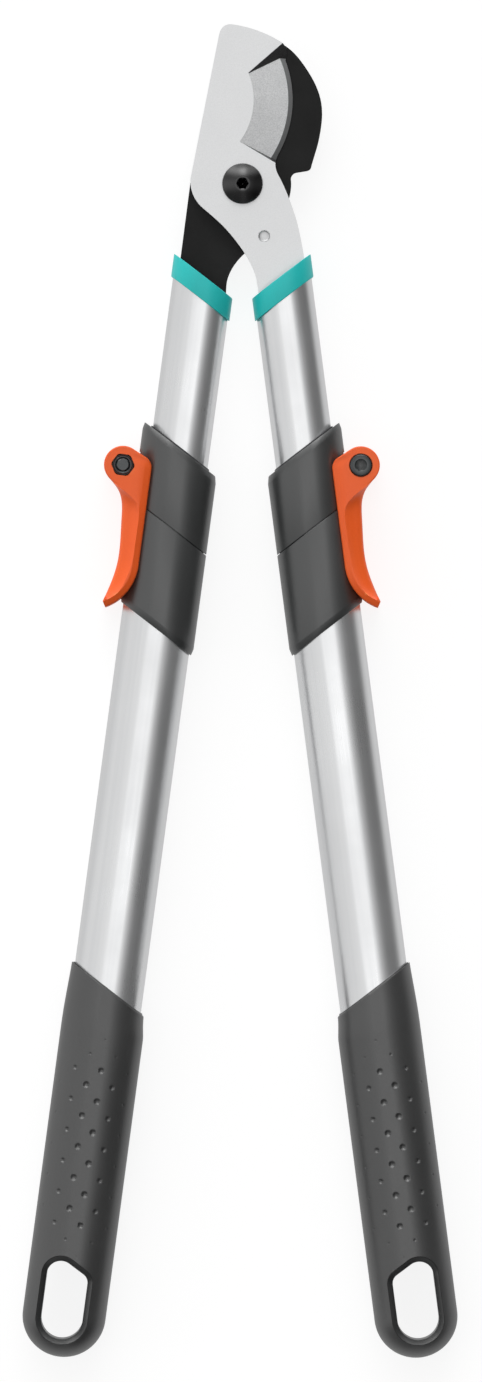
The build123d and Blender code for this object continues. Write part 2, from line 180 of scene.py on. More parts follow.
def new_object(name, mesh, material, matrix=Matrix.Identity(4)):
    """Object in the scene, with one material."""
    piece = bpy.data.objects.new(name, mesh)
    bpy.context.scene.collection.objects.link(piece)
    piece.matrix_world = matrix
    if not mesh.materials:
        mesh.materials.append(material)
    return piece


def strip_faces(first, second, count):
    """Quads between two closed rings of points that start at these indices."""
    return [(first + i, first + (i + 1) % count, second + (i + 1) % count, second + i) for i in range(count)]


def loft(rings, close_ends=False, joined=False):
    """Points and faces of a skin over rings with the same number of points each."""
    count = len(rings[0])
    points = [p for ring in rings for p in ring]
    faces = []
    for k in range(len(rings) - 1):
        faces += strip_faces(k * count, (k + 1) * count, count)
    if joined:
        faces += strip_faces((len(rings) - 1) * count, 0, count)
    if close_ends:
        faces.append(tuple(range(count)))
        faces.append(tuple(range(len(points) - count, len(points))))
    return points, faces


def oval_point(radius, angle):
    """Point of a flat-oval section in x and z."""
    return (math.copysign(FLAT / 2, math.cos(angle)) + radius * math.cos(angle), radius * math.sin(angle))


def oval_ring(radius, depth, slant):
    """Section ring across the handle, cut on a slant."""
    ring = []
    for angle in OVAL_ANGLES:
        x, z = oval_point(radius, angle)
        ring.append((x, depth - x * slant, z))
    return ring


def rounded(radius, fillet, steps):
    """Section sizes round the outer edge of a piece's top end."""
    sizes = []
    for k in range(steps + 1):
        turn = math.pi / 2 * k / steps
        sizes.append((radius - fillet * (1 - math.sin(turn)), fillet * (1 - math.cos(turn))))
    return sizes


def mirrored(sizes):
    """The same sizes for the bottom end, whose depths are negative."""
    return [(radius, -max(depth, END)) for radius, depth in reversed(sizes)]


def sleeve_piece(outer, inner, top, bottom, top_slant=SLANT, bottom_slant=SLANT):
    """Hollow flat-oval piece. outer lists (radius, depth), with negative depths from the bottom end."""
    rings = []
    for radius, offset in outer:
        if offset >= 0:
            rings.append(oval_ring(radius, top + offset, top_slant))
        else:
            rings.append(oval_ring(radius, bottom + offset, bottom_slant))
    rings.append(oval_ring(inner, bottom, bottom_slant))
    rings.append(oval_ring(inner, top, top_slant))
    return loft(rings, joined=True)


def prism(outline, low, high):
    """Flat piece with small chamfers round its outline, which is convex or nearly so."""
    edge = 0.3
    centre = np.mean(outline, axis=0)
    pulled = []
    for point in outline:
        spoke = np.array(point) - centre
        pulled.append(tuple(centre + spoke * (1 - edge / max(0.5, np.hypot(*spoke)))))
    rings = [
        [(x, y, low) for x, y in pulled],
        [(x, y, low + edge) for x, y in outline],
        [(x, y, high - edge) for x, y in outline],
        [(x, y, high) for x, y in pulled],
    ]
    return loft(rings, close_ends=True)


def lathe(profile, centre, count):
    """Turned piece about Z. profile lists (radius, z); a radius may be a function of the angle."""
    rings = []
    for radius, z in profile:
        ring = []
        for i in range(count):
            angle = 2 * math.pi * i / count
            r = radius(angle) if callable(radius) else radius
            ring.append((centre[0] + r * math.cos(angle), centre[1] + r * math.sin(angle), z))
        rings.append(ring)
    return loft(rings, close_ends=True)


def hexagon(across_flats, limit=1e9):
    """Radius of a hexagon by angle, cut back to a circle of radius limit."""
    def radius(angle):
        turn = (angle % (math.pi / 3)) - math.pi / 6
        return min(across_flats / 2 / math.cos(turn), limit)
    return radius


def merge(*parts):
    """One point and face list from several."""
    points, faces = [], []
    for part_points, part_faces in parts:
        base = len(points)
        points += part_points
        faces += [tuple(base + i for i in face) for face in part_faces]
    return points, faces


def smooth_curve(points, count):
    """Natural cubic through the points, by chord length."""
    points = np.array(points, float)
    steps = np.hypot(*np.diff(points, axis=0).T)
    knots = np.concatenate([[0], np.cumsum(steps)])
    n = len(points)
    system = np.eye(n)
    right = np.zeros((n, 2))
    for i in range(1, n - 1):
        system[i, i - 1:i + 2] = steps[i - 1], 2 * (steps[i - 1] + steps[i]), steps[i]
        right[i] = 6 * ((points[i + 1] - points[i]) / steps[i] - (points[i] - points[i - 1]) / steps[i - 1])
    bend = np.linalg.solve(system, right)
    result = []
    for at in np.linspace(0, knots[-1], count):
        i = min(int(np.searchsorted(knots, at, side="right")) - 1, n - 2)
        h, a, b = steps[i], knots[i + 1] - at, at - knots[i]
        result.append((bend[i] * a ** 3 + bend[i + 1] * b ** 3) / (6 * h)
                      + (points[i] / h - bend[i] * h / 6) * a + (points[i + 1] / h - bend[i + 1] * h / 6) * b)
    return [tuple(p) for p in result]


def arc(centre, radius, start, end, count):
    """Points of an arc, in degrees."""
    return [(centre[0] + radius * math.cos(math.radians(a)), centre[1] + radius * math.sin(math.radians(a)))
            for a in np.linspace(start, end, count)]


def arc_through(a, b, c, count):
    """Points of the arc from a through b to c."""
    (ax, ay), (bx, by), (cx, cy) = a, b, c
    d = 2 * (ax * (by - cy) + bx * (cy - ay) + cx * (ay - by))
    aa, bb, cc = ax * ax + ay * ay, bx * bx + by * by, cx * cx + cy * cy
    ux = (aa * (by - cy) + bb * (cy - ay) + cc * (ay - by)) / d
    uy = (aa * (cx - bx) + bb * (ax - cx) + cc * (bx - ax)) / d
    start, middle, end = (math.atan2(p[1] - uy, p[0] - ux) for p in (a, b, c))
    turn = (end - start) % (2 * math.pi)
    if (middle - start) % (2 * math.pi) > turn:
        turn -= 2 * math.pi
    radius = math.hypot(ax - ux, ay - uy)
    return arc((ux, uy), radius, math.degrees(start), math.degrees(start + turn), count)


def evenly(points, count):
    """The same line with evenly spaced points."""
    points = np.array(points, float)
    along = np.concatenate([[0], np.cumsum(np.hypot(*np.diff(points, axis=0).T))])
    at = np.linspace(0, along[-1], count)
    return np.column_stack([np.interp(at, along, points[:, 0]), np.interp(at, along, points[:, 1])])


def distance_to(line, points):
    """Distance of many points from a line of points."""
    line = np.array(line, float)
    a, b = line[:-1], line[1:]
    ab = b - a
    share = ((points[:, None] - a) * ab).sum(2) / np.maximum((ab * ab).sum(1), 1e-12)
    nearest = a + np.clip(share, 0, 1)[..., None] * ab
    return np.sqrt(((points[:, None] - nearest) ** 2).sum(2)).min(1)


def smoothstep(low, high, value):
    """0 below low, 1 above high, smooth between."""
    share = np.clip((value - low) / (high - low), 0, 1)
    return share * share * (3 - 2 * share)


def cut(piece, points, faces):
    """Take a closed shape, in millimetres, away from a piece's mesh."""
    mesh = new_mesh("cutter", points, faces)
    cutter = bpy.data.objects.new("cutter", mesh)
    bpy.context.scene.collection.objects.link(cutter)
    cutter.matrix_world = piece.matrix_world
    modifier = piece.modifiers.new("cut", "BOOLEAN")
    modifier.object = cutter
    modifier.operation = "DIFFERENCE"
    modifier.solver = "EXACT"
    bpy.context.view_layer.update()
    evaluated = piece.evaluated_get(bpy.context.evaluated_depsgraph_get())
    result = bpy.data.meshes.new_from_object(evaluated)
    piece.modifiers.clear()
    materials = list(piece.data.materials)
    piece.data = result
    piece.data.materials.clear()
    for material in materials:
        piece.data.materials.append(material)
    bpy.data.objects.remove(cutter)
    tidy_mesh(piece.data)


def box_shape(low, high):
    """Box as points and faces."""
    rings = [[(low[0], low[1], z), (high[0], low[1], z), (high[0], high[1], z), (low[0], high[1], z)]
             for z in (low[2], high[2])]
    return loft(rings, close_ends=True)


# ---------------------------------------------------------------- materials

class Finish:
    """A node material under construction: a Principled shader and helpers that feed it."""

    def __init__(self, name, **sockets):
        self.material = bpy.data.materials.new(name)
        self.material.use_nodes = True
        self.tree = self.material.node_tree
        self.shader = self.tree.nodes["Principled BSDF"]
        for socket, value in sockets.items():
            self.shader.inputs[socket.replace("_", " ")].default_value = value
        self.place = self.add("ShaderNodeTexCoord").outputs["Object"]
        self.last_bump = None

    def add(self, kind, **settings):
        node = self.tree.nodes.new(kind)
        for key, value in settings.items():
            setattr(node, key, value)
        return node

    def link(self, source, target):
        self.tree.links.new(source, target)

    def stretched(self, scale):
        """Object coordinates stretched by a scale for each axis."""
        mapping = self.add("ShaderNodeMapping")
        mapping.inputs["Scale"].default_value = scale
        self.link(self.place, mapping.inputs["Vector"])
        return mapping.outputs["Vector"]

    def noise(self, scale, detail, rough, where=None):
        node = self.add("ShaderNodeTexNoise")
        node.inputs["Scale"].default_value = scale
        node.inputs["Detail"].default_value = detail
        node.inputs["Roughness"].default_value = rough
        self.link(where or self.place, node.inputs["Vector"])
        return node.outputs["Fac"]

    def ramp(self, value, stops):
        """Value through a colour ramp. stops lists (position, grey or colour)."""
        node = self.add("ShaderNodeValToRGB")
        elements = node.color_ramp.elements
        while len(elements) < len(stops):
            elements.new(0.5)
        for element, (position, colour) in zip(elements, stops):
            element.position = position
            element.color = (colour, colour, colour, 1) if isinstance(colour, float) else (*colour, 1)
        self.link(value, node.inputs["Fac"])
        return node.outputs["Color"]

    def spread(self, value, low, high, from_low=0.3, from_high=0.7):
        """Value spread from one range to another."""
        node = self.add("ShaderNodeMapRange")
        node.inputs["From Min"].default_value = from_low
        node.inputs["From Max"].default_value = from_high
        node.inputs["To Min"].default_value = low
        node.inputs["To Max"].default_value = high
        self.link(value, node.inputs["Value"])
        return node.outputs["Result"]

    def math(self, operation, a, b):
        node = self.add("ShaderNodeMath", operation=operation, use_clamp=True)
        for socket, value in zip(node.inputs, (a, b)):
            if isinstance(value, float):
                socket.default_value = value
            else:
                self.link(value, socket)
        return node.outputs["Value"]

    def mix(self, share, a, b):
        """Mix of two colours, each a socket or three numbers."""
        node = self.add("ShaderNodeMix", data_type="RGBA")
        for socket, value in zip((node.inputs[6], node.inputs[7]), (a, b)):
            if isinstance(value, tuple):
                socket.default_value = (*value, 1)
            else:
                self.link(value, socket)
        self.link(share, node.inputs[0])
        return node.outputs[2]

    def bump(self, height, strength, distance):
        """Add a layer of bump, with the distance in millimetres."""
        node = self.add("ShaderNodeBump")
        node.inputs["Strength"].default_value = strength
        node.inputs["Distance"].default_value = distance * MM
        self.link(height, node.inputs["Height"])
        if self.last_bump:
            self.link(self.last_bump, node.inputs["Normal"])
        self.last_bump = node.outputs["Normal"]
        self.link(self.last_bump, self.shader.inputs["Normal"])

    def colour(self, source):
        self.link(source, self.shader.inputs["Base Color"])

    def roughness(self, source):
        self.link(source, self.shader.inputs["Roughness"])

    def edges(self, low=0.53, high=0.62):
        """1 on sharp outer edges, found by pointiness, 0 elsewhere: where edge wear goes, and the orange
        lever's painted highlight.
        """
        pointiness = self.add("ShaderNodeNewGeometry").outputs["Pointiness"]
        return self.spread(pointiness, 0.0, 1.0, low, high)


def drawn_aluminium():
    """Satin anodised tube with faint draw lines along it."""
    made = Finish("drawn_aluminium", Metallic=1.0, Roughness=0.3)
    lines = made.noise(1.0, 3.0, 0.6, made.stretched((2600, 14, 2600)))
    broad = made.noise(1.0, 2.0, 0.5, made.stretched((500, 5, 500)))
    haze = made.noise(26.0, 4.0, 0.6)
    tone = made.mix(made.spread(broad, 0.0, 1.0), (0.805, 0.812, 0.82), (0.85, 0.855, 0.86))
    made.colour(tone)
    rough = made.math("ADD", made.spread(lines, 0.0, 0.05), made.spread(haze, 0.24, 0.33))
    made.roughness(rough)
    made.bump(lines, 0.06, 0.02)
    made.bump(broad, 0.03, 0.05)
    return made.material


def coated_blade():
    """Silver coat on the flats and bare grained steel on the ground bevel, with painted shade by facing: a
    dark run-out above the bevel, a darker steep part of the bevel and a near-black wall facing up the tool.
    """
    made = Finish("coated_blade", Metallic=0.85, Roughness=0.42)
    parts = made.add("ShaderNodeSeparateXYZ")
    made.link(made.add("ShaderNodeTexCoord").outputs["Normal"], parts.inputs[0])
    ground = made.ramp(parts.outputs["Z"], [(0.0, 0.0), (0.2, 0.0), (0.25, 1.0), (0.985, 1.0), (0.993, 0.0)])
    # Painted shade, picked by the object-space normal: the run-out facing down the tool, the bevel's steep
    # part and the wall facing up the tool.
    runout_shade_mask = made.spread(parts.outputs["Y"], 1.0, 0.0, -0.44, -0.3)
    steep_shade_mask = made.spread(parts.outputs["Z"], 1.0, 0.0, 0.88, 0.94)
    wall = made.spread(parts.outputs["Y"], 0.0, 0.85, 0.5, 0.7)
    fine = made.noise(2600.0, 2.0, 0.7)
    grain = made.noise(1900.0, 3.0, 0.8)
    clouds = made.noise(70.0, 3.0, 0.5)
    broad = made.noise(110.0, 2.0, 0.5)
    coat = made.mix(made.spread(fine, 0.0, 1.0), (0.75, 0.755, 0.76), (0.84, 0.845, 0.85))
    coat = made.mix(made.spread(clouds, 0.0, 0.25), coat, (0.73, 0.735, 0.74))
    steel = made.mix(made.spread(grain, 0.0, 1.0, 0.36, 0.64), (0.71, 0.72, 0.725), (0.98, 0.985, 0.99))
    steel = made.mix(made.spread(broad, 0.0, 0.3), steel, (0.70, 0.705, 0.71))
    # Painted shade: these mixes darken the bevel's steep part, the wall and the run-out, the last with grain
    # in it.
    steel = made.mix(made.math("MULTIPLY", steep_shade_mask, 0.75), steel, (0.24, 0.245, 0.25))
    steel = made.mix(wall, steel, (0.10, 0.10, 0.102))
    runout_painted_shade = made.mix(made.spread(grain, 0.0, 1.0), (0.07, 0.07, 0.071), (0.15, 0.15, 0.151))
    steel = made.mix(runout_shade_mask, steel, runout_painted_shade)
    made.colour(made.mix(ground, coat, steel))
    made.roughness(made.math("ADD", made.spread(fine, 0.36, 0.46), made.math("MULTIPLY", ground, 0.06)))
    made.bump(fine, 0.12, 0.03)
    made.bump(made.math("MULTIPLY", grain, ground), 0.28, 0.04)
    return made.material


def black_coat():
    """Matte black non-stick coat of the counter blade."""
    made = Finish("black_coat", Roughness=0.5, Specular_IOR_Level=0.18)
    fine = made.noise(2200.0, 2.0, 0.7)
    clouds = made.noise(60.0, 4.0, 0.6)
    tone = made.mix(made.spread(clouds, 0.0, 1.0), (0.0085, 0.0085, 0.0085), (0.0145, 0.0145, 0.0145))
    made.colour(tone)
    made.roughness(made.spread(fine, 0.42, 0.58))
    made.bump(fine, 0.2, 0.03)
    return made.material


def moulded(name, dark, light, rough, grain=0.35, edge_wear_and_painted_highlight=None, shine=0.5, ior=1.5):
    """Moulded plastic with a fine spark texture."""
    made = Finish(name, Roughness=rough[0], Specular_IOR_Level=shine, IOR=ior)
    spark = made.noise(1500.0, 3.0, 0.85)
    clouds = made.noise(45.0, 3.0, 0.5)
    mottle = made.math("ADD", made.spread(clouds, 0.0, 0.5), made.spread(spark, 0.0, 0.5))
    tone = made.mix(mottle, dark, light)
    # Lighter edge tint: wear on the housing, and a painted highlight along the orange lever's edges and
    # ridge.
    if edge_wear_and_painted_highlight:
        tone = made.mix(made.edges(), tone, edge_wear_and_painted_highlight)
    made.colour(tone)
    made.roughness(made.math("ADD", made.spread(spark, 0.0, 0.08), made.spread(clouds, rough[0], rough[1])))
    made.bump(spark, grain, 0.07)
    return made.material


def soft_rubber():
    """Soft-touch grip rubber."""
    made = Finish("soft_rubber", Roughness=0.45, Specular_IOR_Level=1.0, IOR=1.6)
    grain = made.noise(1400.0, 3.0, 0.8)
    clouds = made.noise(30.0, 4.0, 0.6)
    tone = made.mix(made.spread(clouds, 0.0, 1.0), (0.022, 0.0225, 0.0225), (0.029, 0.0295, 0.0295))
    made.colour(made.mix(made.edges(0.52, 0.6), tone, (0.055, 0.055, 0.055)))
    made.roughness(made.math("ADD", made.spread(grain, 0.0, 0.08), made.spread(clouds, 0.30, 0.37)))
    made.bump(grain, 0.38, 0.07)
    return made.material


def black_oxide(name, dark, light):
    """Blackened steel of the fasteners."""
    made = Finish(name, Roughness=0.26, Specular_IOR_Level=0.9)
    fine = made.noise(1800.0, 2.0, 0.6)
    clouds = made.noise(220.0, 3.0, 0.6)
    tone = made.mix(made.spread(clouds, 0.0, 1.0), dark, light)
    made.colour(made.mix(made.edges(0.54, 0.64), tone, (0.06, 0.064, 0.068)))
    made.roughness(made.spread(clouds, 0.20, 0.30))
    made.bump(fine, 0.08, 0.02)
    return made.material


def plain_steel(name, tone, rough):
    """Machined or plated steel."""
    made = Finish(name, Metallic=1.0, Roughness=rough)
    turned = made.noise(1500.0, 2.0, 0.6)
    clouds = made.noise(160.0, 3.0, 0.6)
    darker = tuple(c * 0.86 for c in tone)
    made.colour(made.mix(made.spread(clouds, 0.0, 1.0), darker, tone))
    made.roughness(made.spread(clouds, rough - 0.06, rough + 0.08))
    made.bump(turned, 0.08, 0.02)
    return made.material


ALUMINIUM = drawn_aluminium()
BLADE = coated_blade()
HOOK = black_coat()
TEAL = moulded("teal_plastic", (0.012, 0.52, 0.50), (0.020, 0.60, 0.58), rough=(0.36, 0.44), grain=0.12)
HOUSING = moulded("housing_plastic", (0.023, 0.025, 0.025), (0.031, 0.033, 0.033), rough=(0.28, 0.34),
                  edge_wear_and_painted_highlight=(0.07, 0.075, 0.075), shine=1.0, ior=1.6)
# Its lighter edge tint is a painted highlight along the lever's edges and ridge.
ORANGE = moulded("orange_plastic", (0.94, 0.112, 0.010), (0.99, 0.138, 0.018), rough=(0.30, 0.38), grain=0.10,
                 edge_wear_and_painted_highlight=(1.0, 0.24, 0.06))
CORE = moulded("core_plastic", (0.024, 0.025, 0.025), (0.032, 0.033, 0.033), rough=(0.30, 0.38), shine=1.0,
               ior=1.6)
ACETAL = moulded("acetal", (0.72, 0.70, 0.66), (0.78, 0.77, 0.73), rough=(0.35, 0.45))
INSERT = moulded("insert_plastic", (0.035, 0.035, 0.038), (0.05, 0.05, 0.052), rough=(0.4, 0.5))
RUBBER = soft_rubber()
OXIDE = black_oxide("black_oxide", (0.0015, 0.0015, 0.0018), (0.004, 0.004, 0.0045))
BOLT_OXIDE = black_oxide("bolt_oxide", (0.009, 0.014, 0.015), (0.015, 0.023, 0.025))
ZINC = plain_steel("zinc_plate", (0.60, 0.61, 0.63), 0.3)
PIN = plain_steel("pin_steel", (0.70, 0.705, 0.71), 0.36)


# ---------------------------------------------------------------- handle pieces

def inner_tube():
    """Upper tube: slanted at the head, square below."""
    wall = INNER_R - TUBE_WALL
    outer = [(INNER_R - 0.2, 0.0), (INNER_R, 0.2), (INNER_R, -0.3), (INNER_R - 0.3, -END)]
    return sleeve_piece(outer, wall, *INNER_TUBE, bottom_slant=0.0)


def outer_tube():
    """Lower tube, square at both ends."""
    outer = [(OUTER_R - 0.2, 0.0), (OUTER_R, 0.2), (OUTER_R, -0.2), (OUTER_R - 0.2, -END)]
    return sleeve_piece(outer, OUTER_R - TUBE_WALL, *OUTER_TUBE, top_slant=0.0, bottom_slant=0.0)


def head_collar():
    """Coloured collar with softly rounded ends."""
    top = rounded(COLLAR_R, 0.35, 4)
    return sleeve_piece(top + mirrored(top), INNER_R + 0.02, *COLLAR)


def banded(radius, band, inset):
    """Outer sizes of a housing half's top end that carries a shallow bevel band."""
    fillet = HOUSING_FILLET
    return [(radius - inset - fillet, 0.0), (radius - inset - fillet * 0.3, fillet * 0.25),
            (radius - inset + 0.02, fillet), (radius - 0.03, band - 0.12), (radius, band + 0.12)]


def clamp_collar_ring():
    """Upper half of the clamp housing, without its lugs."""
    outer = banded(HOUSING_R, 2.6, 0.55) + mirrored(rounded(HOUSING_R, HOUSING_FILLET, 3))
    return sleeve_piece(outer, INNER_R + 0.3, *CLAMP)


def clamp_lugs():
    """Two lugs that carry the lever's bolt."""
    lug = [(13.0, 109.9)] + arc(BOLT, 6.0, -100, 105, 36) + [(13.0, 121.2)]
    return merge(prism(lug, 3.3, 6.6), prism(lug, -6.6, -3.3))


def clamp_sleeve():
    """Lower half of the clamp housing, with a tongue that closes the parting line."""
    reach, radius = 0.55, 12.7
    outer = [(radius, 0.0), (radius, reach)]
    outer += [(r, depth + reach) for r, depth in rounded(HOUSING_R, HOUSING_FILLET, 3)]
    outer += mirrored(banded(HOUSING_R, 3.0, 0.7))
    return sleeve_piece(outer, OUTER_R + 0.02, SLEEVE[0] - reach, SLEEVE[1])


def clamp_lip():
    """Dark edge of the wiper that shows above the clamp housing."""
    radius = INNER_R + 0.7
    outer = [(radius - 0.2, 0.0), (radius, 0.2), (radius, -END)]
    return sleeve_piece(outer, INNER_R + 0.12, CLAMP[0] - 0.7, CLAMP[0] + 1.0)


def lever_lines():
    """Inner and outer side lines of the lever, and the ridge that its finger scoop falls away from."""
    start = arc(BOLT, EYE_R, -115, -115, 1)
    inner = start + [(13.4, 109.2)] + arc_through((13.4, 109.2), (10.8, 111.1), (9.95, 114.2), 9)
    inner += [(9.95, 152.0)] + arc_through((9.95, 152.0), (12.9, 162.3), (20.7, 169.5), 24)
    eye = arc(BOLT, EYE_R, -115, 55, 40)
    back = smooth_curve([eye[-1], (21.3, 124.2), (19.0, 135.0), (18.4, 152.0), (22.0, 167.3)], 60)
    ridge = smooth_curve([(25.7, 119.6), (20.8, 122.9), (18.5, 124.1), (15.6, 126.2), (13.8, 128.1),
                          (12.7, 130.6), (12.35, 134.0), (12.4, 143.0), (12.8, 152.0), (14.1, 157.6),
                          (15.7, 161.7), (18.0, 164.7), (20.7, 166.6)], 90)
    return inner, eye + back[1:], ridge


def crossing(a, b, line):
    """Share of the way from a to b at which a line of points is crossed, or None."""
    line = np.array(line)
    p, r = line[:-1], np.diff(line, axis=0)
    d = b - a
    turn = d[0] * r[:, 1] - d[1] * r[:, 0]
    gap = p - a
    along = (gap[:, 0] * r[:, 1] - gap[:, 1] * r[:, 0]) / np.where(abs(turn) < 1e-12, 1e-12, turn)
    across = (gap[:, 0] * d[1] - gap[:, 1] * d[0]) / np.where(abs(turn) < 1e-12, 1e-12, turn)
    hits = along[(across >= 0) & (across <= 1) & (along > 0) & (along < 1)]
    return float(hits.min()) if len(hits) else None


def chamfer_width(depth):
    """Width of the sloping stripe along the lever's inner edge."""
    return np.interp(depth, [110, 128, 134], [2.9, 2.9, 2.4])


def lever_face(points, inner, outer, ridge, scooped):
    """Height of the lever's face over the middle, at plan points. scooped is 1 beyond the ridge."""
    to_inner = distance_to(inner, points)
    to_outer = distance_to(outer, points)
    to_ridge = distance_to(ridge, points)
    depth = points[:, 1]
    # The stripe slopes down to the inner edge, and the scoop is a hollow beyond the ridge
    drop = STRIPE * np.clip(1 - to_inner / chamfer_width(depth), 0, 1) * smoothstep(108.5, 113.0, depth)
    share = to_ridge / np.maximum(to_ridge + to_outer, 1e-6)
    drop += scooped * SCOOP * (1 - (1 - share) ** 1.9) * smoothstep(119.0, 126.0, depth)
    # Both edges are rounded, the scoop's outer one more
    roll = EDGE_R + 1.6 * scooped * smoothstep(120.0, 128.0, depth)
    near = np.clip(roll - to_outer, 0, roll)
    drop += roll - np.sqrt(roll ** 2 - near ** 2)
    near = np.clip(EDGE_R - to_inner, 0, EDGE_R)
    return CHEEK - drop - (EDGE_R - np.sqrt(EDGE_R ** 2 - near ** 2))


def clamp_lever_body():
    """Closed skin of the lever's cheeks and web, before its slots are cut."""
    inner, outer, ridge = lever_lines()
    stations = 170
    inner_points = evenly(inner, stations)
    outer_points = evenly(outer, stations)
    stripe = np.array([0, 0.05, 0.12, 0.22, 0.4, 0.6, 0.8, 1.0])
    flat = np.linspace(0, 1, 6)[1:]
    scoop = np.array([0.04, 0.1, 0.18, 0.27, 0.37, 0.48, 0.59, 0.7, 0.8, 0.88, 0.94, 0.975, 1.0])
    rings = []
    for a, b in zip(inner_points[1:], outer_points[1:]):
        width = np.linalg.norm(b - a)
        at_ridge = crossing(a, b, ridge)
        has_ridge = at_ridge is not None
        at_ridge = at_ridge if has_ridge else 0.9
        at_stripe = min(float(chamfer_width(a[1])) / width, at_ridge * 0.97, 0.5)
        share = np.concatenate([stripe * at_stripe, at_stripe + flat * (at_ridge - at_stripe),
                                at_ridge + scoop * (1 - at_ridge)])
        beyond = np.where((share > at_ridge) & has_ridge, 1.0, 0.0)
        plan = a + (b - a) * share[:, None]
        height = lever_face(plan, inner, outer, ridge, beyond)
        front = [(x, y, z) for (x, y), z in zip(plan, height)]
        wall = [(*b, height[-1] * k) for k in (0.75, 0.5, 0.25, 0.0, -0.25, -0.5, -0.75)]
        back = [(x, y, -z) for x, y, z in reversed(front)]
        depth = (a[1] + b[1]) / 2
        web = WEB_X
        if depth < BOLT[1]:              # round the bolt's eye
            web = max(WEB_X, BOLT[0] - math.sqrt(max(0.0, 6.8 ** 2 - (depth - BOLT[1]) ** 2)))
        reach = min(max((web - a[0]) / max(b[0] - a[0], 1e-6), 0.04), 0.8)
        root = a + (b - a) * reach
        groove = min(CHEEK_IN, height.min() - 0.8)
        channel = [(*a, -groove), (*root, -groove), (*root, 0.0), (*root, groove), (*a, groove)]
        rings.append(front + wall + back + channel)
    return loft(rings, close_ends=True)


def lever_cam():
    """Cam on the bolt and its arm to the web."""
    outline = arc((BOLT[0] - 0.4, BOLT[1]), 6.0, 150, 395, 60) + [(19.5, 127.0), (17.2, 127.0)]
    return prism(outline, -3.0, 3.0)


def build_lever(name, matrix):
    """Orange lever with its bolt pockets, slot for the lugs, and cam."""
    piece = new_object(name, new_mesh(name, *clamp_lever_body()), ORANGE, matrix)
    pocket = hexagon(8.3, 4.5)
    cut(piece, *box_shape((8.0, 100.0, -6.9), (34.0, 124.2, 6.9)))       # room for the lugs
    cut(piece, *lathe([(4.6, -20.0), (4.6, -SEAT)], BOLT, 64))
    cut(piece, *lathe([(pocket, SEAT), (pocket, 20.0)], BOLT, 96))
    cut(piece, *lathe([(2.5, -12.0), (2.5, 12.0)], BOLT, 48))
    cam = new_object(name + "_cam", new_mesh(name + "_cam", *lever_cam()), ORANGE, matrix)
    join(piece, cam)
    return piece


def join(piece, *others):
    """Join other meshes into a piece that shares their matrix."""
    work = bmesh.new()
    work.from_mesh(piece.data)
    for other in others:
        work.from_mesh(other.data)
        bpy.data.objects.remove(other)
    work.to_mesh(piece.data)
    work.free()
    tidy_mesh(piece.data)


def lever_bolt():
    """Cap screw, with its head at the back of the left handle."""
    out, head = 14.2, 4.25
    profile = [(2.1, out), (2.5, out - 0.4), (2.5, -SEAT), (head, -SEAT), (head, -out + 0.5),
               (head - 0.15, -out + 0.15), (head - 0.5, -out), (2.45, -out), (2.32, -out + 0.1),
               (hexagon(4.0), -out + 0.3), (hexagon(4.0), -out + 2.6), (0.9, -out + 2.9)]
    return lathe(profile, BOLT, 96)


def lever_nut():
    """Lock nut with chamfered corners and its nylon collar."""
    flats, low, high, crown = 8.0, SEAT + 0.05, 12.9, 13.85
    corner = flats / 2 / math.cos(math.pi / 6)
    profile = [(hexagon(flats, corner - 0.45), low), (hexagon(flats, corner - 0.25), low + 0.3),
               (hexagon(flats, corner - 0.25), high - 0.4), (hexagon(flats, corner - 0.6), high),
               (3.75, high + 0.05), (3.6, crown - 0.25), (3.4, crown), (3.1, crown), (2.8, crown - 0.15),
               (2.55, crown - 0.9), (2.55, low)]
    count = 96
    points, faces = lathe(profile, BOLT, count)
    open_ended = faces[:-2]          # its last two faces are the ends, which a bore joins instead
    return points, open_ended + strip_faces((len(profile) - 1) * count, 0, count)


# ---------------------------------------------------------------- grip

def hole_loop(grow):
    """Outline of the hanging hole, grown by some millimetres."""
    loop = []
    for centre, radius, start, end in HOLE_CORNERS:
        loop += arc(centre, radius + grow, start, end, max(12, int((end - start) / 5)))
    return [tuple(p) for p in evenly(loop + [loop[0]], 121)[:-1]]


def grip_height(x, t):
    """Half thickness of the grip over a plan point."""
    from_axis = abs(x) if t < GRIP_CENTRE else math.hypot(x, t - GRIP_CENTRE)
    return math.sqrt(max(GRIP_R ** 2 - max(0.0, from_axis - FLAT / 2) ** 2, 0.01))


def half_section():
    """Points round the grip's outer half, from the back's middle to the front's middle, in x and z."""
    quarter = [(x, GRIP_R) for x in (0.0, 0.3, 0.6, 0.9, 1.2, 1.5)]
    steps = 62
    for k in range(steps + 1):
        turn = math.pi / 2 * (k / steps) ** 1.15
        quarter.append((FLAT / 2 + GRIP_R * math.sin(turn), GRIP_R * math.cos(turn)))
    front = quarter[:-1]
    side = [quarter[-1]]
    return [(x, -z) for x, z in front] + side + [(x, z) for x, z in reversed(front)]


def scaled(section, shrink):
    """Section with its radius made smaller."""
    radius = GRIP_R - shrink
    result = []
    for x, z in section:
        turn = math.atan2(z, max(abs(x) - FLAT / 2, 0.0))
        if abs(x) <= FLAT / 2:
            result.append((x, math.copysign(radius, z)))
        else:
            result.append((math.copysign(FLAT / 2 + radius * math.cos(turn), x), radius * math.sin(turn)))
    return result


def dimples():
    """Places and radii of the grip's dimples: a staggered grid that fades out at its edges."""
    found = []
    for i in range(-3, 3):
        from_middle = (i + 0.5) * DIMPLE_COLUMN
        across = math.cos(min(1.0, abs(from_middle) / DIMPLE_REACH) * math.pi / 2)
        for k in range(-5, 6):
            t = DIMPLE_FIRST + (k + i % 2 / 2) * DIMPLE_PITCH
            from_centre = abs(t - DIMPLE_CENTRE[1])
            size = DIMPLE_R * across * (1 - 0.72 * float(smoothstep(*DIMPLE_FADE, from_centre)))
            if size > 0.2 and from_centre < DIMPLE_END:
                found.append((DIMPLE_CENTRE[0] + from_middle, t, size))
    return found


